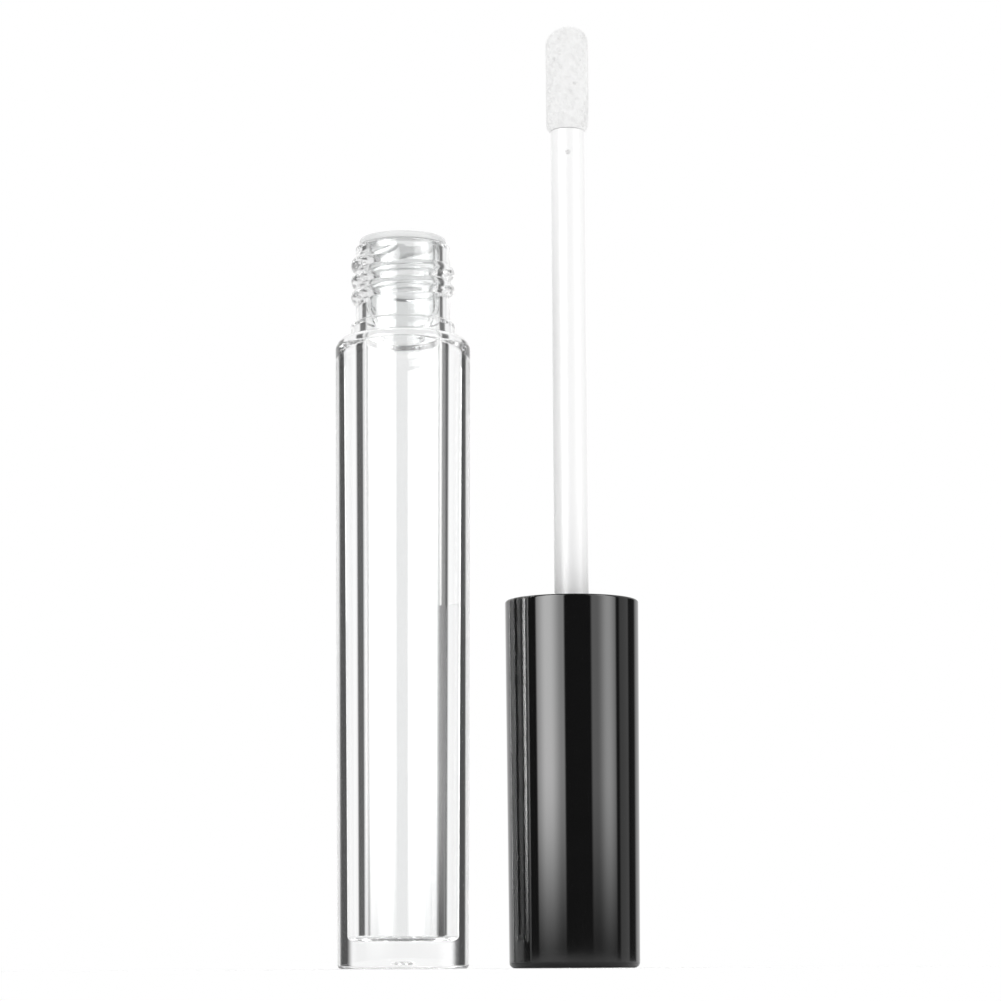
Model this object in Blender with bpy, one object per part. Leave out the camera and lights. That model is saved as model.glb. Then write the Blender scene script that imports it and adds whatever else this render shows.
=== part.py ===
"""Lip gloss tube, opened, as a set of separate pieces.

A clear thick-walled tube with a threaded neck stands on its base with the
natural plastic wiper in its mouth.  Beside it the glossy black cap stands
on its closed end, so that the wand it carries points straight up.

Frame: metres, +Z up, origin at the centre of the footprint on the surface
the object stands on.  The tube is on the -X side, the cap on the +X side.
The cap turns over about a level axis between the two, comes down over the
tube and screws on: its pieces are drawn here as they stand when it is off.
"""
import math

import bmesh
import bpy
from mathutils import Matrix

MM = 0.001
SIDES = 36                 # facets round every turned surface

# ---- layout -------------------------------------------------------------
SPACING = 20.44            # tube axis to cap axis
TUBE_R_TOP = 8.25          # tube outer radius just under the shoulder
CAP_R_RIM = 8.08           # cap outer radius at its open end
TUBE_X = -(SPACING + CAP_R_RIM - TUBE_R_TOP) / 2
CAP_X = TUBE_X + SPACING
CLOSED_H = 120.8           # closed end of the cap above the base, screwed on
TURN_H = 103.5             # height of the axis the cap turns over about

# ---- tube ---------------------------------------------------------------
TUBE_R_BASE = 7.85
SHOULDER_Z = 76.5
SHOULDER_FILLET = 1.5
COLLAR_R = 6.4
COLLAR_Z = 78.4
NECK_R = 5.8
NECK_Z = 88.0
BORE_R_TOP = 4.57
BORE_R_FLOOR = 4.24
BORE_FLOOR_Z = 3.2
BORE_FLOOR_FILLET = 0.7
GATE_R = 1.2
GATE_DEPTH = 0.9

# ---- screw thread on the neck, right-handed ------------------------------
PITCH = 2.0
THREAD_Z0 = 80.67          # crest height at angle zero, before the start
THREAD_FROM = 165.0        # degrees from +X, counter-clockwise seen from above
THREAD_TO = 950.0
THREAD_H = 0.55
THREAD_ROOT_HALF = 0.66
THREAD_CREST_HALF = 0.22
THREAD_RUNOUT = 50.0
ROW = 0.3                  # spacing of the rows that carry the thread

# ---- matching ridge in the inner cap --------------------------------------
RIDGE_FROM = 200.0
RIDGE_TO = 640.0
RIDGE_H = 0.5
RIDGE_ROOT_HALF = 0.50
RIDGE_CREST_HALF = 0.12

# ---- wiper ----------------------------------------------------------------
WIPER_FLANGE_R = 5.35
WIPER_FLANGE_T = 0.9
WIPER_SLEEVE_R = 4.45
WIPER_LIFT = 0.1           # flange underside above the neck's top face
WIPER_END_Z = 76.0
WIPER_ORIFICE_R = 2.22

# ---- cap --------------------------------------------------------------------
CAP_L = 44.0
CAP_R_END = 7.8
CAP_END_T = 1.2
CAP_WALL = 0.93
CAP_END_FILLET = 0.7
INNER_R = 7.05
INNER_BORE_R = 6.5
INNER_RIM_U = 43.2
INNER_CEIL_U = 30.55
INNER_CEIL_T = 1.2
SOCKET_R = 3.6
SOCKET_BORE_R = 2.18
SOCKET_END_U = 14.0
SOCKET_LIP_R = 1.5

# ---- sealing ring -------------------------------------------------------------
RING_R = 5.4
RING_HOLE_R = 2.6
RING_U = 30.65
RING_T = 1.0

# ---- wand -----------------------------------------------------------------------
ROD_R = 2.075
ROD_BORE_R = 1.15
ROD_END_U = 16.0
ROD_TIP_U = 102.6
LOCK_U = 99.5
LOCK_R = 0.3
LOCK_DEPTH = 0.45
PLUG_R = 1.0
PLUG_U0 = 92.0
PLUG_U1 = 98.0
SHANK_R = 1.05
SHANK_U = 98.6
FLOCK_U0 = 102.85
FLOCK_U1 = 116.0
FLOCK_R = 2.7
CORE_R = 1.75
CORE_U1 = 114.6


def clear_scene():
    for ob in list(bpy.data.objects):
        bpy.data.objects.remove(ob, do_unlink=True)


def principled(name, colour, rough, metallic=0.0, transmission=0.0, ior=1.5, alpha=1.0):
    mat = bpy.data.materials.new(name)
    mat.use_nodes = True
    b = mat.node_tree.nodes["Principled BSDF"]
    b.inputs["Base Color"].default_value = (*colour, 1.0)
    b.inputs["Roughness"].default_value = rough
    b.inputs["Metallic"].default_value = metallic
    b.inputs["Transmission Weight"].default_value = transmission
    b.inputs["IOR"].default_value = ior
    b.inputs["Alpha"].default_value = alpha
    mat.diffuse_color = (*colour, alpha)
    return mat


def axis_empty(name, x, z=0.0):
    e = bpy.data.objects.new(name, None)
    e.empty_display_size = 0.01
    e.location = (x * MM, 0.0, z * MM)
    bpy.context.scene.collection.objects.link(e)
    return e


def arc(cx, cz, r, a0, a1, steps):
    """Points of an arc in the (radius, height) plane, angles in degrees."""
    pts = []
    for i in range(steps + 1):
        a = math.radians(a0 + (a1 - a0) * i / steps)
        pts.append((cx + r * math.cos(a), cz + r * math.sin(a)))
    return pts


def turned(name, profile, sides=SIDES, closed=True):
    """Spin a (radius, height) profile in mm about the Z axis.

    The outline runs so that its outer side is walked upwards.  A closed
    outline makes a ring; an open one starts and ends on the axis.
    """
    bm = bmesh.new()
    verts = [bm.verts.new((r * MM, 0.0, z * MM)) for r, z in profile]
    pairs = list(zip(verts, verts[1:]))
    if closed:
        pairs.append((verts[-1], verts[0]))
    edges = [bm.edges.new(p) for p in pairs]
    bmesh.ops.spin(bm, geom=verts + edges, cent=(0, 0, 0), axis=(0, 0, 1),
                   angle=2 * math.pi, steps=sides, use_duplicate=False)
    bmesh.ops.remove_doubles(bm, verts=bm.verts, dist=0.000002)
    bmesh.ops.dissolve_degenerate(bm, edges=bm.edges, dist=0.000001)
    bmesh.ops.recalc_face_normals(bm, faces=bm.faces)
    me = bpy.data.meshes.new(name)
    bm.to_mesh(me)
    bm.free()
    return me


def place(name, me, mat, parent):
    ob = bpy.data.objects.new(name, me)
    me.materials.append(mat)
    bpy.context.scene.collection.objects.link(ob)
    ob.parent = parent
    me.shade_smooth()
    me.set_sharp_from_angle(angle=math.radians(32))
    return ob


def rows(z0, z1, step):
    """Evenly spaced heights from z0 to z1, both ends included."""
    n = max(1, int(round(abs(z1 - z0) / step)))
    return [z0 + (z1 - z0) * i / n for i in range(n + 1)]


def bead(theta, z, z_zero, a_from, a_to, root_half, crest_half):
    """Height, 0 to 1, of a helical bead at an angle and a height."""
    best = 0.0
    turn = theta % 360.0
    while turn < a_to + THREAD_RUNOUT:
        if turn > a_from - THREAD_RUNOUT:
            dz = abs(z - (z_zero + PITCH * turn / 360.0))
            f = min(1.0, max(0.0, (root_half - dz) / (root_half - crest_half)))
            ends = min(turn - a_from, a_to - turn) / THREAD_RUNOUT + 1.0
            f *= min(1.0, max(0.0, ends))
            best = max(best, f * f * (3 - 2 * f))
        turn += 360.0
    return best


# =============================================================================
def build_bottle(mat, axis):
    corner = arc(TUBE_R_TOP - SHOULDER_FILLET, SHOULDER_Z - SHOULDER_FILLET,
                 SHOULDER_FILLET, 0, 90, 4)
    floor_arc = arc(BORE_R_FLOOR - BORE_FLOOR_FILLET, BORE_FLOOR_Z + BORE_FLOOR_FILLET,
                    BORE_FLOOR_FILLET, 0, -90, 4)
    outline = [(0, GATE_DEPTH), (GATE_R - 0.3, GATE_DEPTH), (GATE_R, 0.0)]
    outline += [(TUBE_R_BASE - 0.5, 0.0), (TUBE_R_BASE - 0.15, 0.15), (TUBE_R_BASE, 0.5)]
    outline += corner
    outline += [(COLLAR_R, SHOULDER_Z), (COLLAR_R, COLLAR_Z - 0.15), (COLLAR_R - 0.15, COLLAR_Z),
                (NECK_R, COLLAR_Z)]
    outline += [(NECK_R, z) for z in rows(COLLAR_Z + ROW, NECK_Z - 0.3, ROW)]
    outline += [(NECK_R - 0.25, NECK_Z), (BORE_R_TOP + 0.1, NECK_Z), (BORE_R_TOP, NECK_Z - 0.1)]
    outline += [(BORE_R_TOP, 74.0)]
    outline += floor_arc
    outline += [(0, BORE_FLOOR_Z)]
    me = turned("bottle", outline, closed=False)
    # the thread is raised out of the neck's own rows
    for v in me.vertices:
        r = math.hypot(v.co.x, v.co.y) / MM
        z = v.co.z / MM
        if abs(r - NECK_R) < 0.02 and COLLAR_Z + 0.05 < z < NECK_Z - 0.1:
            th = math.degrees(math.atan2(v.co.y, v.co.x))
            k = 1 + THREAD_H / r * bead(th, z, THREAD_Z0, THREAD_FROM, THREAD_TO,
                                        THREAD_ROOT_HALF, THREAD_CREST_HALF)
            v.co.x *= k
            v.co.y *= k
    return place("bottle", me, mat, axis)


def build_wiper(mat, axis):
    top = NECK_Z + WIPER_LIFT + WIPER_FLANGE_T
    under = NECK_Z + WIPER_LIFT
    s = WIPER_SLEEVE_R
    outline = [
        (WIPER_ORIFICE_R, WIPER_END_Z), (WIPER_ORIFICE_R + 0.4, WIPER_END_Z),
        (s - 0.45, WIPER_END_Z + 3.0), (s, WIPER_END_Z + 3.8),
        (s, under), (WIPER_FLANGE_R - 0.1, under), (WIPER_FLANGE_R, under + 0.1),
        (WIPER_FLANGE_R, top - 0.25), (WIPER_FLANGE_R - 0.25, top),
        (s - 0.45, top), (s - 0.65, top - 0.25), (s - 0.65, WIPER_END_Z + 4.0),
        (WIPER_ORIFICE_R, WIPER_END_Z + 0.6)]
    return place("wiper", turned("wiper", outline), mat, axis)


def build_outer_cap(mat, axis):
    r_in_end = CAP_R_END - CAP_WALL + 0.22
    r_in_rim = CAP_R_RIM - CAP_WALL
    end = arc(CAP_R_END - CAP_END_FILLET, CAP_END_FILLET, CAP_END_FILLET, -90, 0, 4)
    outline = [(0, 0)] + end
    outline += [(CAP_R_RIM, CAP_L - 0.25), (CAP_R_RIM - 0.1, CAP_L - 0.05), (CAP_R_RIM - 0.3, CAP_L),
                (r_in_rim + 0.2, CAP_L), (r_in_rim, CAP_L - 0.2),
                (r_in_rim, SOCKET_END_U - 2), (r_in_end, CAP_END_T + 0.8),
                (r_in_end - 0.8, CAP_END_T), (0, CAP_END_T)]
    return place("outer_cap", turned("outer_cap", outline, closed=False), mat, axis)


def build_inner_cap(mat, axis):
    z_hi = CLOSED_H - 81.6     # the ridge's span, as heights in the standing cap
    z_lo = CLOSED_H - 87.0
    outline = [(INNER_BORE_R + 0.15, INNER_RIM_U), (INNER_BORE_R, INNER_RIM_U - 0.2)]
    outline += [(INNER_BORE_R, z) for z in rows(z_hi, z_lo, ROW)]
    outline += [(INNER_BORE_R, INNER_CEIL_U + 0.3), (INNER_BORE_R - 0.3, INNER_CEIL_U),
                (SOCKET_BORE_R + 0.15, INNER_CEIL_U), (SOCKET_BORE_R, INNER_CEIL_U - 0.15),
                (SOCKET_BORE_R, ROD_END_U - 0.1), (SOCKET_LIP_R, ROD_END_U - 0.1),
                (SOCKET_LIP_R, SOCKET_END_U), (SOCKET_R - 0.3, SOCKET_END_U),
                (SOCKET_R, SOCKET_END_U + 0.3), (SOCKET_R, INNER_CEIL_U - INNER_CEIL_T),
                (INNER_R - 0.3, INNER_CEIL_U - INNER_CEIL_T),
                (INNER_R, INNER_CEIL_U - INNER_CEIL_T + 0.3), (INNER_R, INNER_RIM_U)]
    me = turned("inner_cap", outline)
    # ridge that runs between the turns of the neck's thread when screwed on;
    # the standing cap is the screwed-on one turned half round about Y
    for v in me.vertices:
        r = math.hypot(v.co.x, v.co.y) / MM
        z = v.co.z / MM
        if abs(r - INNER_BORE_R) < 0.02 and z_lo - 0.05 < z < z_hi + 0.05:
            th = math.degrees(math.atan2(v.co.y, -v.co.x))
            k = 1 - RIDGE_H / r * bead(th, CLOSED_H - z, THREAD_Z0 + PITCH / 2,
                                       RIDGE_FROM, RIDGE_TO,
                                       RIDGE_ROOT_HALF, RIDGE_CREST_HALF)
            v.co.x *= k
            v.co.y *= k
    return place("inner_cap", me, mat, axis)


def build_sealing_ring(mat, axis):
    c = 0.15
    r0, r1, z0, z1 = RING_HOLE_R, RING_R, RING_U, RING_U + RING_T
    outline = [(r0 + c, z0), (r1 - c, z0), (r1, z0 + c), (r1, z1 - c), (r1 - c, z1),
               (r0 + c, z1), (r0, z1 - c), (r0, z0 + c)]
    return place("sealing_ring", turned("sealing_ring", outline), mat, axis)


def build_rod(mat, axis):
    outline = [(ROD_BORE_R, ROD_END_U), (ROD_R - 0.2, ROD_END_U), (ROD_R, ROD_END_U + 0.2),
               (ROD_R, LOCK_U - 3), (ROD_R, ROD_TIP_U - 0.2), (ROD_R - 0.2, ROD_TIP_U),
               (ROD_BORE_R + 0.1, ROD_TIP_U), (ROD_BORE_R, ROD_TIP_U - 0.1)]
    ob = place("wand_rod", turned("wand_rod", outline), mat, axis)
    # small round locking dimple in the front of the rod, over the tip's shank
    me = bpy.data.meshes.new("dimple_cutter")
    bm = bmesh.new()
    bmesh.ops.create_cone(bm, cap_ends=True, segments=12, radius1=LOCK_R * 0.8 * MM,
                          radius2=LOCK_R * MM, depth=2 * LOCK_DEPTH * MM)
    bmesh.ops.rotate(bm, verts=bm.verts, cent=(0, 0, 0),
                     matrix=Matrix.Rotation(math.radians(90), 3, "X"))
    bm.to_mesh(me)
    bm.free()
    cutter = bpy.data.objects.new("dimple_cutter", me)
    bpy.context.scene.collection.objects.link(cutter)
    cutter.parent = axis
    cutter.location = (0, -ROD_R * MM, LOCK_U * MM)
    cutter.hide_render = True
    cutter.display_type = "WIRE"
    cut = ob.modifiers.new("locking_dimple", "BOOLEAN")
    cut.operation = "DIFFERENCE"
    cut.solver = "EXACT"
    cut.object = cutter
    return ob


def build_plug(mat, axis):
    c = 0.15
    outline = [(0, PLUG_U0), (PLUG_R - c, PLUG_U0), (PLUG_R, PLUG_U0 + c),
               (PLUG_R, PLUG_U1 - c), (PLUG_R - c, PLUG_U1), (0, PLUG_U1)]
    return place("rod_plug", turned("rod_plug", outline, sides=16, closed=False), mat, axis)


def tip_radius(u, u0, u1, r_max, r_base):
    """Radius of the doe-foot form: nearly straight, then a blunt dome."""
    t = min(1.0, max(0.0, (u - u0) / (u1 - u0)))
    body = r_base + (r_max - r_base) * min(1.0, t / 0.35)
    dome = 0.66
    if t > dome:
        s = (t - dome) / (1 - dome)
        body *= max(0.0, 1 - s ** 2.6) ** 0.42
    return body


def build_tip_core(mat, axis):
    outline = [(0, SHANK_U), (SHANK_R - 0.15, SHANK_U), (SHANK_R, SHANK_U + 0.15),
               (SHANK_R, ROD_TIP_U + 0.15), (CORE_R, ROD_TIP_U + 0.15)]
    for i in range(1, 9):
        u = ROD_TIP_U + 0.15 + (CORE_U1 - ROD_TIP_U - 0.15) * (i / 8) ** 0.85
        outline.append((tip_radius(u, ROD_TIP_U + 0.15, CORE_U1, CORE_R, CORE_R), u))
    outline[-1] = (0, CORE_U1)
    return place("tip_core", turned("tip_core", outline, sides=24, closed=False), mat, axis)


def build_flocking(mat, axis):
    outer = []
    for i in range(0, 13):
        t = i / 12
        u = FLOCK_U0 + (FLOCK_U1 - FLOCK_U0) * (1 - (1 - t) ** 1.35)
        outer.append((tip_radius(u, FLOCK_U0, FLOCK_U1, FLOCK_R, FLOCK_R - 0.15), u))
    outer[-1] = (0, FLOCK_U1)
    inner = [(0, CORE_U1 + 0.15)]
    for i in range(7, -1, -1):
        t = i / 8
        u = FLOCK_U0 + (CORE_U1 + 0.15 - FLOCK_U0) * (1 - (1 - t) ** 1.35)
        inner.append((CORE_R + 0.15 if t < 0.75 else
                      tip_radius(u, ROD_TIP_U + 0.15, CORE_U1 + 0.15, CORE_R + 0.15, CORE_R + 0.15), u))
    me = turned("flocking", inner + outer, sides=SIDES, closed=False)
    # the blunt end leans a little to one side, as on a doe-foot
    for v in me.vertices:
        u = v.co.z / MM
        if u > FLOCK_U1 - 3.2 and math.hypot(v.co.x, v.co.y) / MM > CORE_R + 0.3:
            lean = (u - (FLOCK_U1 - 3.2)) / 3.2
            v.co.x += 0.12 * MM * lean
    return place("flocking", me, mat, axis)


def main():
    clear_scene()
    clear_plastic = principled("clear_plastic", (0.93, 0.95, 0.96), 0.03,
                               transmission=0.95, ior=1.57, alpha=0.35)
    natural_pe = principled("natural_pe", (0.90, 0.92, 0.92), 0.28, transmission=0.35)
    black_gloss = principled("black_gloss", (0.012, 0.012, 0.013), 0.07)
    black_inner = principled("black_inner", (0.02, 0.02, 0.02), 0.35)
    white_rod = principled("white_rod", (0.90, 0.90, 0.89), 0.32)
    seal = principled("seal_foam", (0.86, 0.86, 0.84), 0.6)
    core_white = principled("core_white", (0.87, 0.87, 0.86), 0.45)
    flock_white = principled("flock_white", (0.93, 0.93, 0.91), 0.95)

    tube_axis = axis_empty("tube_axis", TUBE_X)
    cap_axis = axis_empty("cap_axis", CAP_X)
    axis_empty("turn_over_axis", (TUBE_X + CAP_X) / 2, TURN_H)

    build_bottle(clear_plastic, tube_axis)
    build_wiper(natural_pe, tube_axis)
    build_outer_cap(black_gloss, cap_axis)
    build_inner_cap(black_inner, cap_axis)
    build_sealing_ring(seal, cap_axis)
    build_rod(white_rod, cap_axis)
    build_plug(core_white, cap_axis)
    build_tip_core(core_white, cap_axis)
    build_flocking(flock_white, cap_axis)
    bpy.context.view_layer.update()


main()
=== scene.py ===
import math

import bpy
import numpy as np
from mathutils import Matrix, Vector


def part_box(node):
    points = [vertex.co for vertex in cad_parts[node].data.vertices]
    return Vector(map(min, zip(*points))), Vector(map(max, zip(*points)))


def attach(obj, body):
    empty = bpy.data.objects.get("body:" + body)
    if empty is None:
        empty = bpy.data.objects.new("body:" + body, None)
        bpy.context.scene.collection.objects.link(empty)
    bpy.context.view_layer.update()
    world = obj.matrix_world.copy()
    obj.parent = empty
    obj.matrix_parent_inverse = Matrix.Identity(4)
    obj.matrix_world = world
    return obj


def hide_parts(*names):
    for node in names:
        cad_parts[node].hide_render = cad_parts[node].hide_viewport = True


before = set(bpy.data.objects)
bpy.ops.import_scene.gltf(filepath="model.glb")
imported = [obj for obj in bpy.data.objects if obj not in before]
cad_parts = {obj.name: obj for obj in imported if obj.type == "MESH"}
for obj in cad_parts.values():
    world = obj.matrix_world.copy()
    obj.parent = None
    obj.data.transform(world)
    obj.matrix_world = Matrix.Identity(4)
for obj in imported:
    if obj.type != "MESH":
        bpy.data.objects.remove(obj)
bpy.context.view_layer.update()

MM = 0.001


# =============================================================================
# where things are, read from the frame
# =============================================================================
def axis_of(node):
    lo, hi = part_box(node)
    return (lo.x + hi.x) / 2 / MM


def span(node):
    lo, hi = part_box(node)
    return lo.z / MM, hi.z / MM


TX = axis_of("bottle")
CX = axis_of("outer_cap")
TUBE_R = (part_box("bottle")[1].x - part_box("bottle")[0].x) / 2 / MM
CAP_R = (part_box("outer_cap")[1].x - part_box("outer_cap")[0].x) / 2 / MM
NECK_TOP = span("bottle")[1]
WIPER_END, WIPER_TOP = span("wiper")
WIPER_R = (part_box("wiper")[1].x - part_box("wiper")[0].x) / 2 / MM
CAP_TOP = span("outer_cap")[1]
ROD_LO, ROD_HI = span("wand_rod")
ROD_R = (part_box("wand_rod")[1].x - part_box("wand_rod")[0].x) / 2 / MM
FLOCK_LO, FLOCK_HI = span("flocking")
FLOCK_R = (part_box("flocking")[1].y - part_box("flocking")[0].y) / 2 / MM

# shapes that the frame's boxes don't say, in mm
TUBE_R_BASE = 7.85
SHOULDER_Z = 76.5
COLLAR_R, COLLAR_Z = 6.4, 78.4
NECK_R = 5.8
BORE_TOP, BORE_FLOOR, BORE_FLOOR_Z = 4.57, 4.24, 3.2
PITCH, THREAD_Z0, THREAD_H = 2.0, 80.67, 0.55
THREAD_FROM, THREAD_TO = 165.0, 950.0
CLOSED_H = 120.8
LOCK_U = 99.5


# =============================================================================
# mesh tools
# =============================================================================
def arc(cx, cz, r, a0, a1, steps):
    return [(cx + r * math.cos(math.radians(a0 + (a1 - a0) * i / steps)),
             cz + r * math.sin(math.radians(a0 + (a1 - a0) * i / steps)))
            for i in range(steps + 1)]


def run(p, q, n):
    """Points from p to q, n steps, without p, with close loops at both ends so that the shading stays straight."""
    d = math.hypot(q[0] - p[0], q[1] - p[1])
    t = {i / n for i in range(1, n + 1)}
    for pad in (0.02, 0.06, 0.2):
        if d > 3 * pad:
            t |= {pad / d, 1 - pad / d}
    return [(p[0] + (q[0] - p[0]) * i, p[1] + (q[1] - p[1]) * i) for i in sorted(t)]


def lathe(name, profile, seg, closed=False, warp=None):
    """Turn a (radius, height) outline in mm round Z into a smooth mesh.

    The outline walks up the outer side, so that the faces point out.
    warp(x, y, z, r, theta) may move the points of the rings.
    """
    th = np.arange(seg) * 2 * math.pi / seg
    verts, rings = [], []
    for r, z in profile:
        if r < 1e-6:
            rings.append(("pole", len(verts)))
            verts.append((0.0, 0.0, z))
        else:
            rings.append(("ring", len(verts)))
            verts.extend(zip(r * np.cos(th), r * np.sin(th), [z] * seg))
    v = np.array(verts, float)
    if warp is not None:
        r = np.hypot(v[:, 0], v[:, 1])
        v = warp(v[:, 0], v[:, 1], v[:, 2], r, np.arctan2(v[:, 1], v[:, 0]))
    faces = []
    pairs = list(zip(rings, rings[1:]))
    if closed:
        pairs.append((rings[-1], rings[0]))
    for (ka, a), (kb, b) in pairs:
        for j in range(seg):
            k = (j + 1) % seg
            if ka == "pole":
                faces.append((a, b + k, b + j))
            elif kb == "pole":
                faces.append((a + j, a + k, b))
            else:
                faces.append((a + j, a + k, b + k, b + j))
    me = bpy.data.meshes.new(name)
    me.from_pydata((v * MM).tolist(), [], faces)
    me.validate()
    me.shade_smooth()
    ob = bpy.data.objects.new(name, me)
    bpy.context.scene.collection.objects.link(ob)
    return ob


def bead(theta, z, z_zero, a_from, a_to, half, fade=50.0):
    """0 to 1: a rounded helical bead that runs up a turn in PITCH."""
    deg = np.degrees(theta) % 360.0
    best = np.zeros_like(z)
    for k in range(4):
        turn = deg + 360.0 * k
        dz = (z - (z_zero + PITCH * turn / 360.0)) / half
        f = np.clip(1 - dz * dz, 0, None)
        e = np.clip(np.minimum(turn - a_from, a_to - turn) / fade + 1.0, 0, 1)
        e = e * e * (3 - 2 * e)
        best = np.maximum(best, f * e)
    return best


# =============================================================================
# materials
# =============================================================================
def new_mat(name):
    m = bpy.data.materials.new(name)
    m.use_nodes = True
    return m, m.node_tree, m.node_tree.nodes["Principled BSDF"]


def noise(nt, scale, detail=2.0, rough=0.5, stretch=(1, 1, 1), coord="Object"):
    tc = nt.nodes.new("ShaderNodeTexCoord")
    mp = nt.nodes.new("ShaderNodeMapping")
    mp.inputs["Scale"].default_value = stretch
    n = nt.nodes.new("ShaderNodeTexNoise")
    n.inputs["Scale"].default_value = scale
    n.inputs["Detail"].default_value = detail
    n.inputs["Roughness"].default_value = rough
    nt.links.new(tc.outputs[coord], mp.inputs["Vector"])
    nt.links.new(mp.outputs["Vector"], n.inputs["Vector"])
    return n.outputs["Fac"]


def remap(nt, src, lo, hi, a=0.0, b=1.0):
    m = nt.nodes.new("ShaderNodeMapRange")
    m.inputs["From Min"].default_value = a
    m.inputs["From Max"].default_value = b
    m.inputs["To Min"].default_value = lo
    m.inputs["To Max"].default_value = hi
    nt.links.new(src, m.inputs["Value"])
    return m.outputs["Result"]


def bump(nt, bsdf, height, strength, distance):
    b = nt.nodes.new("ShaderNodeBump")
    b.inputs["Strength"].default_value = strength
    b.inputs["Distance"].default_value = distance
    nt.links.new(height, b.inputs["Height"])
    nt.links.new(b.outputs["Normal"], bsdf.inputs["Normal"])


def tint(nt, bsdf, src, c0, c1, lo=0.3, hi=0.7):
    r = nt.nodes.new("ShaderNodeValToRGB")
    r.color_ramp.elements[0].position = lo
    r.color_ramp.elements[0].color = (*c0, 1)
    r.color_ramp.elements[1].position = hi
    r.color_ramp.elements[1].color = (*c1, 1)
    nt.links.new(src, r.inputs["Fac"])
    nt.links.new(r.outputs["Color"], bsdf.inputs["Base Color"])


def mat_clear():
    m, nt, b = new_mat("clear_plastic_look")
    b.inputs["Transmission Weight"].default_value = 1.0
    b.inputs["IOR"].default_value = 1.57
    tint(nt, b, noise(nt, 90, 2), (0.985, 0.99, 0.99), (0.995, 0.998, 0.998))
    nt.links.new(remap(nt, noise(nt, 260, 3), 0.0, 0.02, 0.45, 0.75), b.inputs["Roughness"])
    return m


def mat_wiper():
    m, nt, b = new_mat("natural_pe_look")
    tc = nt.nodes.new("ShaderNodeTexCoord")
    sp = nt.nodes.new("ShaderNodeSeparateXYZ")
    nt.links.new(tc.outputs["Object"], sp.inputs[0])
    nt.links.new(remap(nt, sp.outputs["Z"], 0.93, 0.3, 0.0877, 0.0882), b.inputs["Transmission Weight"])
    b.inputs["IOR"].default_value = 1.12
    b.inputs["Specular IOR Level"].default_value = 0.3
    tint(nt, b, noise(nt, 600, 3), (0.955, 0.96, 0.96), (0.98, 0.985, 0.985))
    nt.links.new(remap(nt, noise(nt, 900, 3), 0.04, 0.1), b.inputs["Roughness"])
    return m


def mat_black_gloss():
    m, nt, b = new_mat("black_gloss_look")
    b.inputs["IOR"].default_value = 1.5
    tint(nt, b, noise(nt, 300, 3), (0.0016, 0.0016, 0.0017), (0.0024, 0.0024, 0.0025))
    nt.links.new(remap(nt, noise(nt, 180, 4), 0.035, 0.075), b.inputs["Roughness"])
    bump(nt, b, noise(nt, 45, 2, 0.4, (1, 1, 0.35)), 0.035, 0.001)
    return m


def mat_black_inner():
    m, nt, b = new_mat("black_inner_look")
    tint(nt, b, noise(nt, 700, 3), (0.012, 0.012, 0.012), (0.02, 0.02, 0.02))
    nt.links.new(remap(nt, noise(nt, 900, 3), 0.3, 0.42), b.inputs["Roughness"])
    bump(nt, b, noise(nt, 2600, 2), 0.08, 0.0002)
    return m


def mat_rod():
    m, nt, b = new_mat("white_rod_look")
    b.inputs["IOR"].default_value = 1.49
    b.inputs["Subsurface Weight"].default_value = 0.0
    tint(nt, b, noise(nt, 240, 3, 0.5, (1, 1, 0.12)), (0.93, 0.93, 0.93), (0.955, 0.955, 0.952))
    nt.links.new(remap(nt, noise(nt, 500, 3), 0.27, 0.38), b.inputs["Roughness"])
    bump(nt, b, noise(nt, 1500, 2, 0.5, (1, 1, 0.1)), 0.06, 0.0001)
    return m


def mat_flock():
    m, nt, b = new_mat("flock_look")
    b.inputs["Sheen Weight"].default_value = 0.35
    b.inputs["Sheen Roughness"].default_value = 0.5
    b.inputs["Specular IOR Level"].default_value = 0.2
    tint(nt, b, noise(nt, 1900, 4, 0.6), (0.875, 0.875, 0.873), (0.935, 0.935, 0.933))
    nt.links.new(remap(nt, noise(nt, 1900, 2), 0.85, 1.0), b.inputs["Roughness"])
    bump(nt, b, noise(nt, 5200, 3, 0.7), 0.6, 0.00008)
    return m


def mat_plain_white(name, c, rough):
    m, nt, b = new_mat(name)
    tint(nt, b, noise(nt, 900, 3), tuple(x * 0.97 for x in c), c)
    nt.links.new(remap(nt, noise(nt, 800, 3), rough - 0.06, rough + 0.06), b.inputs["Roughness"])
    bump(nt, b, noise(nt, 3000, 3), 0.2, 0.0001)
    return m


# =============================================================================
# pieces
# =============================================================================
def put(ob, x, mat, body, node):
    ob.location = (x * MM, 0, 0)
    ob.data.materials.append(mat)
    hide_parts(node)
    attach(ob, body)
    return ob


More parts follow.
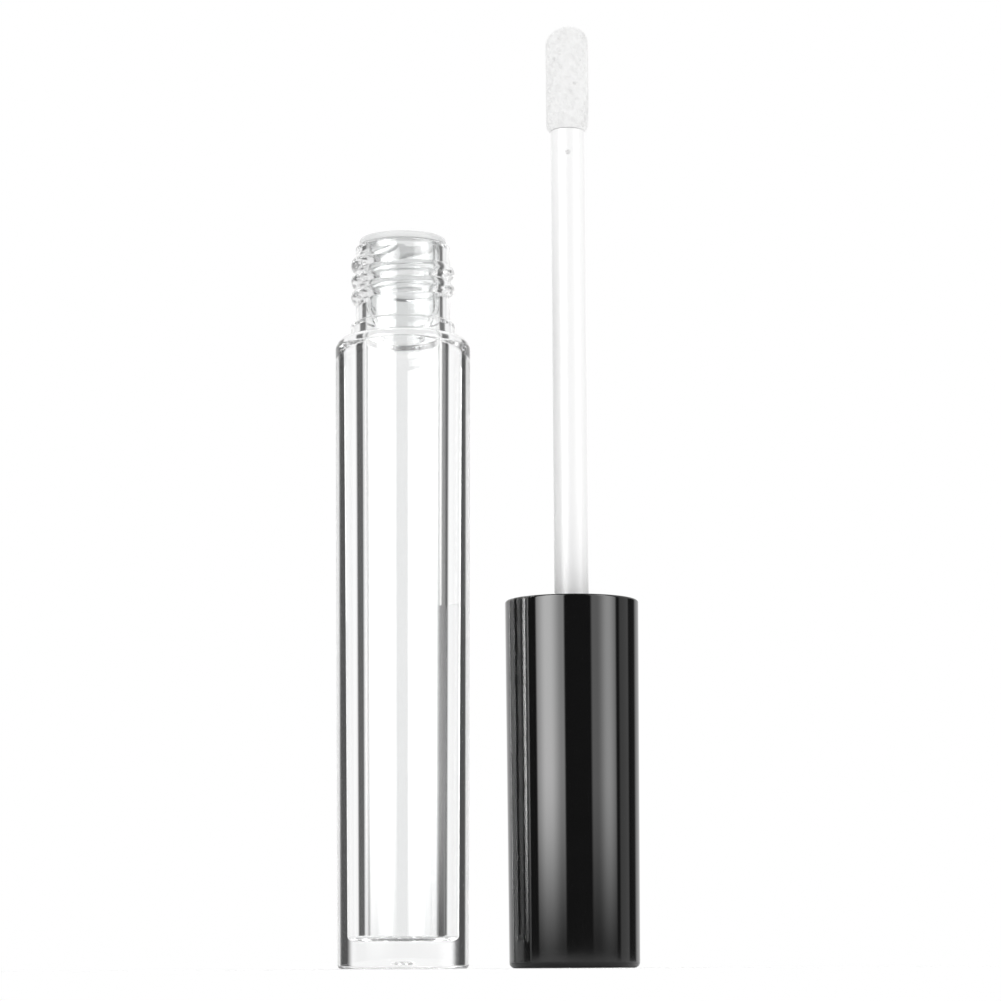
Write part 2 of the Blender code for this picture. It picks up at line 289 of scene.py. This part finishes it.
def make_bottle():
    seg = 200
    p = [(0, 0.9), (0.3, 0.9), (0.6, 0.86), (0.8, 0.76), (0.92, 0.62), (1.12, 0.1), (1.17, 0.03), (1.25, 0.0)]
    p += run((1.25, 0.0), (TUBE_R_BASE - 0.55, 0.0), 8)
    p += arc(TUBE_R_BASE - 0.5, 0.5, 0.5, -90, 0, 8)[1:]
    p += run((TUBE_R_BASE, 0.5), (TUBE_R, SHOULDER_Z - 1.5), 40)
    p += arc(TUBE_R - 1.5, SHOULDER_Z - 1.5, 1.5, 0, 90, 30)[1:]
    p += arc(COLLAR_R + 0.3, SHOULDER_Z + 0.3, 0.3, -90, -180, 6)
    p += arc(COLLAR_R - 0.45, COLLAR_Z - 0.45, 0.45, 0, 90, 8)
    p += arc(NECK_R + 0.12, COLLAR_Z + 0.12, 0.12, -90, -180, 4)
    z = COLLAR_Z + 0.12
    n = int(round((NECK_TOP - 0.3 - z) / 0.075))
    p += run((NECK_R, z), (NECK_R, NECK_TOP - 0.3), n)
    p += arc(NECK_R - 0.3, NECK_TOP - 0.3, 0.3, 0, 90, 7)[1:]
    p += run(p[-1], (BORE_TOP + 0.12, NECK_TOP), 4)
    p += arc(BORE_TOP + 0.12, NECK_TOP - 0.12, 0.12, 90, 180, 4)[1:]
    p += run(p[-1], (BORE_TOP, 74.0), 8)
    p += run((BORE_TOP, 74.0), (BORE_FLOOR, BORE_FLOOR_Z + 0.7), 36)
    p += arc(BORE_FLOOR - 0.7, BORE_FLOOR_Z + 0.7, 0.7, 0, -90, 18)[1:]
    p += run(p[-1], (0, BORE_FLOOR_Z), 6)
    # drop doubled points
    q = [p[0]]
    for a in p[1:]:
        if math.hypot(a[0] - q[-1][0], a[1] - q[-1][1]) > 1e-4:
            q.append(a)

    def warp(x, y, zz, r, th):
        k = np.ones_like(r)
        on = (np.abs(r - NECK_R) < 0.02) & (zz > COLLAR_Z + 0.1) & (zz < NECK_TOP - 0.25)
        k[on] = 1 + THREAD_H / r[on] * bead(th[on], zz[on], THREAD_Z0, THREAD_FROM, THREAD_TO, 0.98)
        return np.stack([x * k, y * k, zz], 1)

    ob = lathe("tube_body", q, seg, warp=warp)
    return put(ob, TX, mat_clear(), "tube", "bottle")


def make_wiper():
    s, rf = 4.45, WIPER_R
    under = NECK_TOP + 0.1
    top = WIPER_TOP
    e = WIPER_END
    p = [(2.3, e)] + run((2.3, e), (2.55, e), 2)
    p += run((2.62, e), (s - 0.45, e + 3.0), 8)
    p += [(s - 0.2, e + 3.4), (s, e + 3.8)]
    p += run((s, e + 3.8), (s, under), 10)
    p += run((s, under), (rf - 0.1, under), 3)
    p += arc(rf - 0.1, under + 0.1, 0.1, -90, 0, 3)[1:]
    p += arc(rf - 0.38, top - 0.38, 0.38, 0, 90, 8)
    p += run(p[-1], (s - 0.45, top), 3)
    p += arc(s - 0.4, top - 0.25, 0.25, 90, 180, 6)[1:]
    p += run(p[-1], (s - 0.65, e + 4.0), 10)
    p += run((s - 0.65, e + 4.0), (2.26, e + 0.6), 9)
    p += [(2.22, e + 0.3)]
    ob = lathe("wiper_insert", p, 160, closed=True)
    return put(ob, TX, mat_wiper(), "tube", "wiper")


def make_outer_cap():
    L, r0, r1 = CAP_TOP, 7.8, CAP_R
    f = 0.7
    p = [(0, 0.0)] + run((0, 0), (r0 - f, 0), 6)
    p += arc(r0 - f, f, f, -90, 0, 12)[1:]
    p += run((r0, f), (r1, L - 0.28), 60)
    p += arc(r1 - 0.28, L - 0.28, 0.28, 0, 90, 8)[1:]
    ri = r1 - 0.93
    p += run(p[-1], (ri + 0.2, L), 2)
    p += arc(ri + 0.2, L - 0.2, 0.2, 90, 180, 6)[1:]
    p += run(p[-1], (ri, 12.0), 8)
    p += run((ri, 12.0), (r0 - 0.71, 2.0), 6)
    p += arc(r0 - 0.71 - 0.8, 2.0, 0.8, 0, -90, 6)[1:]
    p += run(p[-1], (0, 1.2), 4)
    ob = lathe("cap_shell", p, 220)
    return put(ob, CX, mat_black_gloss(), "cap", "outer_cap")


def make_inner_cap():
    br, orr, cz, ct = 6.5, 7.05, 30.55, 1.2
    z_hi, z_lo = CLOSED_H - 81.2, CLOSED_H - 87.2
    rim = span("inner_cap")[1]
    p = [(br + 0.18, rim), (br + 0.06, rim - 0.08), (br, rim - 0.22)]
    p += run(p[-1], (br, z_hi), 6)
    p += run((br, z_hi), (br, z_lo), 64)
    p += run((br, z_lo), (br, cz + 0.3), 4)
    p += arc(br - 0.3, cz + 0.3, 0.3, 0, -90, 5)[1:]
    p += run(p[-1], (2.33, cz), 4)
    p += [(2.22, cz - 0.05), (2.18, cz - 0.15)]
    p += run((2.18, cz - 0.15), (2.18, 15.9), 4)
    p += [(1.5, 15.9), (1.5, 14.0), (3.3, 14.0), (3.5, 14.08), (3.6, 14.3)]
    p += run((3.6, 14.3), (3.6, cz - ct - 0.3), 5)
    p += arc(3.9, cz - ct - 0.3, 0.3, 180, 90, 4)[1:]
    p += run(p[-1], (orr - 0.3, cz - ct), 3)
    p += arc(orr - 0.3, cz - ct + 0.3, 0.3, -90, 0, 4)[1:]
    p += run(p[-1], (orr, rim), 8)

    def warp(x, y, zz, r, th):
        k = np.ones_like(r)
        on = (np.abs(r - br) < 0.02) & (zz > z_lo - 0.05) & (zz < z_hi + 0.05)
        t2 = np.arctan2(y[on], -x[on])
        k[on] = 1 - 0.38 / r[on] * bead(t2, CLOSED_H - zz[on], THREAD_Z0 + PITCH / 2, 200, 640, 0.5)
        return np.stack([x * k, y * k, zz], 1)

    ob = lathe("cap_liner", p, 144, closed=True, warp=warp)
    return put(ob, CX, mat_black_inner(), "cap", "inner_cap")


def make_ring():
    lo, hi = span("sealing_ring")
    r0, r1 = 2.6, 5.4
    p = arc(r1 - 0.25, lo + 0.25, 0.25, -90, 0, 6) + arc(r1 - 0.25, hi - 0.25, 0.25, 0, 90, 6)
    p += arc(r0 + 0.25, hi - 0.25, 0.25, 90, 180, 6) + arc(r0 + 0.25, lo + 0.25, 0.25, 180, 270, 6)
    ob = lathe("seal_washer", p, 128, closed=True)
    return put(ob, CX, mat_plain_white("seal_look", (0.88, 0.88, 0.86), 0.6), "lifted_cap",
               "sealing_ring")


def make_rod():
    r, br = ROD_R, 1.15
    p = [(br, ROD_LO), (r - 0.2, ROD_LO), (r, ROD_LO + 0.2)]
    p += run(p[-1], (r, LOCK_U - 0.6), 60)
    p += run(p[-1], (r, LOCK_U + 0.6), 34)
    p += run(p[-1], (r, ROD_HI - 0.06), 8)
    p += arc(r - 0.06, ROD_HI - 0.06, 0.06, 0, 90, 4)[1:]
    p += [(br + 0.1, ROD_HI), (br, ROD_HI - 0.1)]
    p += run(p[-1], (br, ROD_LO + 0.1), 6)

    def warp(x, y, zz, rr, th):
        # small round locking dimple, pressed in from the front
        front = (rr > r - 0.05) & (y < 0)
        d = np.hypot(x, zz - LOCK_U)
        s = np.clip(1.25 - 1.25 * (d / 0.31) ** 3, 0, 1)
        k = np.where(front, 1 - 0.5 / rr * s, 1.0)
        return np.stack([x * k, y * k, zz], 1)

    ob = lathe("wand_stem", p, 224, closed=True, warp=warp)
    return put(ob, CX, mat_rod(), "cap", "wand_rod")


def flock_radius(u):
    """Radius of the flocked tip's surface at height u, before the fibres."""
    r = FLOCK_R - 0.16
    dome = 2.6
    s = np.clip((u - (FLOCK_HI - 0.1 - dome)) / dome, 0, 1)
    low = np.clip((u - FLOCK_LO + 0.22) / 0.9, 0, 1)
    return r * np.sqrt(np.clip(1 - s ** 2.3, 0, 1)) * (0.86 + 0.14 * np.sqrt(low))


def make_flock():
    rng = np.random.default_rng(7)
    us = np.concatenate([np.linspace(FLOCK_LO - 0.22, FLOCK_LO + 0.5, 10)[:-1],
                         np.linspace(FLOCK_LO + 0.5, FLOCK_HI - 2.7, 60)[:-1],
                         FLOCK_HI - 0.1 - 2.6 * (1 - np.sin(np.linspace(0, 1, 34) * math.pi / 2))])
    outer = [(float(flock_radius(u)), float(u)) for u in us]
    outer[-1] = (0.0, float(us[-1]))
    core_top = span("tip_core")[1]
    inner = [(0.0, core_top + 0.15)] + arc(0.4, core_top - 1.35, 1.5, 90, 0, 8)
    inner += run(inner[-1], (1.9, FLOCK_LO - 0.22), 10)
    seg = 132

    def lean(x, y, z, r):
        # the blunt end leans, one side is fuller in the middle, the foot tapers
        t = np.clip((z - (FLOCK_HI - 3.0)) / 3.0, 0, 1)
        out = r > 1.95
        side = np.clip(x / np.maximum(r, 1e-6), -1, 1)
        mid = np.exp(-((z - (FLOCK_HI - 7.0)) / 3.6) ** 2)
        foot = np.clip(1 - (z - FLOCK_LO) / 3.5, 0, 1)
        dx = 0.3 * t * t + np.where(out, 0.06 * mid * np.clip(side, 0, 1) - 0.16 * foot * np.clip(side, 0, 1), 0)
        return x + dx * np.where(z > core_top - 0.5, 1, out), y, z

    def warp(x, y, z, r, th):
        # soft lumps in the pile
        on = r > 1.97
        lump = (0.035 * np.sin(5 * th + 1.7 * z) * np.sin(2.3 * z + 1.0)
                + 0.025 * np.sin(9 * th - 2.9 * z + 2.0) + 0.02 * np.sin(14 * th + 4.1 * z))
        fade = np.clip((FLOCK_HI - z) / 1.5, 0, 1)
        k = np.where(on, 1 + lump * fade / np.maximum(r, 0.1), 1)
        X, Y, Z = lean(x * k, y * k, z, r)
        return np.stack([X, Y, Z], 1)

    base = lathe("flocked_tip", inner + outer, seg, warp=warp)
    # short fibres standing in the pile, each a fine closed spike
    n = 17000
    u = FLOCK_LO - 0.15 + (FLOCK_HI - FLOCK_LO - 0.0) * rng.random(n)
    keep_u = []
    # even cover over the dome as well: reject by local circumference
    rr = flock_radius(u)
    u = u[rng.random(n) < np.clip(rr / FLOCK_R + 0.12, 0, 1)]
    n = len(u)
    a = rng.random(n) * 2 * math.pi
    r = flock_radius(u)
    du = 0.02
    slope = (flock_radius(u + du) - flock_radius(u - du)) / (2 * du)
    slope = np.clip(slope, -8, 0)
    nr = 1 / np.sqrt(1 + slope ** 2)
    nz = -slope * nr
    cs, sn = np.cos(a), np.sin(a)
    x, y, z = lean(r * cs, r * sn, u, np.maximum(r, 2.2))
    pos = np.stack([x, y, z], 1)
    nrm = np.stack([nr * cs, nr * sn, nz], 1)
    jit = rng.normal(0, 0.42, (n, 3))
    d = nrm + jit
    d /= np.linalg.norm(d, axis=1)[:, None]
    length = 0.16 + 0.16 * rng.random(n)
    # keep the points inside the solid the fibres belong to
    tip = pos + d * length[:, None]
    side = np.cross(d, np.array([0.31, 0.52, 0.79]))
    side /= np.linalg.norm(side, axis=1)[:, None]
    up = np.cross(d, side)
    w = 0.022
    root = pos - d * 0.1
    verts = np.empty((n, 4, 3))
    for i in range(3):
        ang = i * 2 * math.pi / 3
        verts[:, i] = root + w * (math.cos(ang) * side + math.sin(ang) * up)
    verts[:, 3] = tip
    lim = FLOCK_R
    rad = np.hypot(verts[..., 0], verts[..., 1])
    verts[..., 2] = np.clip(verts[..., 2], FLOCK_LO - 0.22, FLOCK_HI)
    f = np.where(rad > lim, lim / rad, 1.0)
    verts[..., 0] *= f
    verts[..., 1] *= f
    idx = (np.arange(n) * 4)[:, None]
    tri = np.concatenate([idx + np.array([0, 1, 3]), idx + np.array([1, 2, 3]),
                          idx + np.array([2, 0, 3]), idx + np.array([0, 2, 1])], 0)
    me = bpy.data.meshes.new("flock_fibres")
    me.from_pydata((verts.reshape(-1, 3) * MM).tolist(), [], tri.tolist())
    me.validate()
    fib = bpy.data.objects.new("flock_fibres", me)
    bpy.context.scene.collection.objects.link(fib)
    m = mat_flock()
    put(base, CX, m, "cap", "flocking")
    fib.location = (CX * MM, 0, 0)
    fib.data.materials.append(m)
    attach(fib, "cap")
    return base


make_bottle()
make_wiper()
make_outer_cap()
make_inner_cap()
make_ring()
make_rod()
make_flock()
core_look = mat_plain_white("core_look", (0.88, 0.88, 0.87), 0.45)
for name in ("tip_core", "rod_plug"):
    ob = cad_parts[name]
    ob.data.materials.clear()
    ob.data.materials.append(core_look)

# =============================================================================
# floor, light, camera
# =============================================================================
bpy.ops.mesh.primitive_circle_add(vertices=128, radius=0.17, fill_type="TRIFAN", location=(0, 0, -0.03 * MM))
floor = bpy.context.object
floor.name = "floor"
fm, fnt, fb = new_mat("floor_look")
tint(fnt, fb, noise(fnt, 8, 2), (0.97, 0.97, 0.97), (0.98, 0.98, 0.98))
fb.inputs["Roughness"].default_value = 0.9
fb.inputs["Specular IOR Level"].default_value = 0.1
floor.data.materials.append(fm)

world = bpy.data.worlds.new("studio")
bpy.context.scene.world = world
world.use_nodes = True
nt = world.node_tree
nt.nodes.clear()
if hasattr(world, "cycles"):
    world.cycles.sampling_method = "NONE"


def math_node(op, a, b=None, c=None, clamp=False):
    n = nt.nodes.new("ShaderNodeMath")
    n.operation = op
    n.use_clamp = clamp
    for i, v in enumerate((a, b, c)):
        if v is None:
            continue
        if isinstance(v, (int, float)):
            n.inputs[i].default_value = v
        else:
            nt.links.new(v, n.inputs[i])
    return n.outputs[0]


def smooth(v, lo, hi):
    m = nt.nodes.new("ShaderNodeMapRange")
    m.interpolation_type = "SMOOTHSTEP"
    for k, x in (("From Min", lo), ("From Max", hi)):
        if isinstance(x, (int, float)):
            m.inputs[k].default_value = x
        else:
            nt.links.new(x, m.inputs[k])
    nt.links.new(v, m.inputs["Value"])
    return m.outputs["Result"]


def band(v, lo, hi, soft):
    """1 between lo and hi, with soft edges."""
    return math_node("MULTIPLY", smooth(v, lo - soft / 2, lo + soft / 2),
                     math_node("SUBTRACT", 1.0, smooth(v, hi - soft / 2, hi + soft / 2)))


tc = nt.nodes.new("ShaderNodeTexCoord")
sep = nt.nodes.new("ShaderNodeSeparateXYZ")
nt.links.new(tc.outputs["Generated"], sep.inputs[0])
dx, dy, dz = sep.outputs
DEG = 180 / math.pi
# degrees round the object: 0 is towards the front, 180 is straight behind it
az = math_node("MULTIPLY", math_node("ARCTAN2", dx, math_node("MULTIPLY", dy, -1.0)), DEG)
elev = math_node("MULTIPLY", math_node("ARCSINE", dz), DEG)
off = math_node("ABSOLUTE", az)

# a plain product studio: white backdrop behind, a dark flag and a white fill at each side, two soft boxes in front
backdrop = math_node("MULTIPLY", smooth(off, 132.0, 142.0), 0.9)
fill = math_node("MULTIPLY", band(off, 88.0, 112.0, 6.0), 0.72)
rear = math_node("ADD", math_node("ADD", backdrop, fill), 0.08)
over = smooth(math_node("ABSOLUTE", elev), 13.0, 19.0)
rear = math_node("ADD", math_node("MULTIPLY", rear, math_node("SUBTRACT", 1.0, over)),
                 math_node("MULTIPLY", over, 0.88))
box_l = math_node("MULTIPLY", band(az, -66.0, -15.0, 4.0),
                  math_node("ADD", math_node("MULTIPLY", band(az, -58.0, -30.0, 22.0), 6.0), 4.5))
box_r = math_node("MULTIPLY", band(az, 32.0, 80.0, 5.0),
                  math_node("ADD", math_node("MULTIPLY", band(az, 52.0, 74.0, 20.0), 3.5), 2.2))
front = math_node("MULTIPLY", math_node("ADD", box_l, box_r), band(elev, 1.0, 55.0, 4.0))
front = math_node("ADD", front, 0.12)
is_rear = math_node("GREATER_THAN", off, 85.0)
studio = math_node("ADD", math_node("MULTIPLY", rear, is_rear),
                   math_node("MULTIPLY", front, math_node("SUBTRACT", 1.0, is_rear)))

# matt surfaces get the same soft light from all round, and the backdrop is plain white to look at
lp = nt.nodes.new("ShaderNodeLightPath")
matt = math_node("GREATER_THAN", lp.outputs["Diffuse Depth"], 0.5)
out_v = math_node("ADD", math_node("MULTIPLY", studio, math_node("SUBTRACT", 1.0, matt)),
                  math_node("MULTIPLY", matt, 1.04))
out_v = math_node("ADD", math_node("MULTIPLY", out_v, math_node("SUBTRACT", 1.0, lp.outputs["Is Camera Ray"])),
                  lp.outputs["Is Camera Ray"])
bg = nt.nodes.new("ShaderNodeBackground")
bg.inputs["Color"].default_value = (1, 1, 1, 1)
nt.links.new(out_v, bg.inputs["Strength"])
wo = nt.nodes.new("ShaderNodeOutputWorld")
nt.links.new(bg.outputs[0], wo.inputs[0])

cam_data = bpy.data.cameras.new("camera")
cam = bpy.data.objects.new("camera", cam_data)
bpy.context.scene.collection.objects.link(cam)
bpy.context.scene.camera = cam
FOCAL_PX, PITCH_UP, ROLL = 3100.0, math.radians(8.56), math.radians(0.31)
cam_data.sensor_width = 36.0
cam_data.sensor_fit = "HORIZONTAL"
cam_data.lens = FOCAL_PX * 36.0 / 1001.0
cam_data.clip_start = 0.01
cam_data.clip_end = 20.0
fwd = Vector((0, math.cos(PITCH_UP), math.sin(PITCH_UP)))
up0 = Vector((0, -math.sin(PITCH_UP), math.cos(PITCH_UP)))
rt0 = Vector((1, 0, 0))
rt = rt0 * math.cos(ROLL) - up0 * math.sin(ROLL)
up = up0 * math.cos(ROLL) + rt0 * math.sin(ROLL)
rot = Matrix((rt, up, -fwd)).transposed()
cam.matrix_world = Matrix.Translation((1.75 * MM, -373.6 * MM, 0.15 * MM)) @ rot.to_4x4()

scene = bpy.context.scene
scene.view_settings.view_transform = "Standard"
scene.view_settings.look = "None"
scene.view_settings.exposure = 0.0
scene.view_settings.gamma = 1.0
# light runs along the thick walls of the tube before it comes out
scene.cycles.max_bounces = 28
scene.cycles.glossy_bounces = 28
scene.cycles.transmission_bounces = 28
